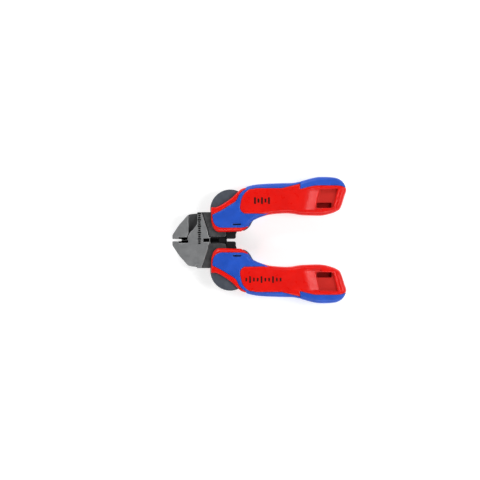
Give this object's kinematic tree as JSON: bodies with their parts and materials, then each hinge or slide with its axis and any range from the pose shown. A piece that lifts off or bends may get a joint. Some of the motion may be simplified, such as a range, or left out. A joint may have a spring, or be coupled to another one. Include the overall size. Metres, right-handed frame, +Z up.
{
  "type": "compact bolt cutters",
  "caption": "Compact compound-lever bolt cutters with short forged jaws, round steel side plates and curved two-tone plastic grips, shown closed.",
  "frame": {"origin": "centre of the footprint, on the surface the tool lies on", "axes": "+X from the jaws to the handle ends, +Y to the upper handle, +Z up out of the face of the tool"},
  "size_m": [0.16, 0.1164, 0.022],
  "materials": {
    "forged_steel": "dark phosphated forging with ground faces",
    "dark_steel": "blackened, satin",
    "rivet_steel": "ground flush, satin",
    "red_plastic": "hard, fine moulded texture",
    "blue_soft": "soft grip, fine grain"
  },
  "bodies": {
    "lower_handle": {"lower_lever_core": "dark_steel", "lower_front_cheek": "dark_steel", "lower_back_cheek": "dark_steel", "lower_lever_rivet": "rivet_steel", "lower_tang_rivet": "rivet_steel", "lower_grip_carrier": "red_plastic", "lower_soft_band": "blue_soft", "lower_end_cap": "blue_soft", "centre_rivet": "rivet_steel"},
    "lower_jaw": {"lower_jaw": "forged_steel", "jaw_rivet": "rivet_steel"},
    "upper_jaw": {"upper_jaw": "forged_steel"},
    "upper_handle": {"upper_lever_core": "dark_steel", "upper_front_cheek": "dark_steel", "upper_back_cheek": "dark_steel", "upper_lever_rivet": "rivet_steel", "upper_tang_rivet": "rivet_steel", "upper_grip_carrier": "red_plastic", "upper_soft_band": "blue_soft", "upper_end_cap": "blue_soft"}
  },
  "joints": [
    {"name": "lower_jaw_hinge", "type": "hinge", "parent": "lower_handle", "child": "lower_jaw", "pos_m": [-0.03741, -0.01604, 0.011], "axis": [0, 0, 1], "range_deg": [0, 26]},
    {"name": "jaw_pivot", "type": "hinge", "parent": "lower_jaw", "child": "upper_jaw", "pos_m": [-0.0554, 0, 0.011], "axis": [0, 0, 1], "range_deg": [-12.1, 0]},
    {"name": "upper_handle_hinge", "type": "hinge", "parent": "upper_jaw", "child": "upper_handle", "pos_m": [-0.03741, 0.01604, 0.011], "axis": [0, 0, 1], "range_deg": [0, 26]}
  ],
  "couplings": [
    {"joint": "jaw_pivot", "follows": "lower_jaw_hinge", "ratio": -0.465},
    {"joint": "upper_handle_hinge", "follows": "lower_jaw_hinge", "ratio": 1}
  ]
}
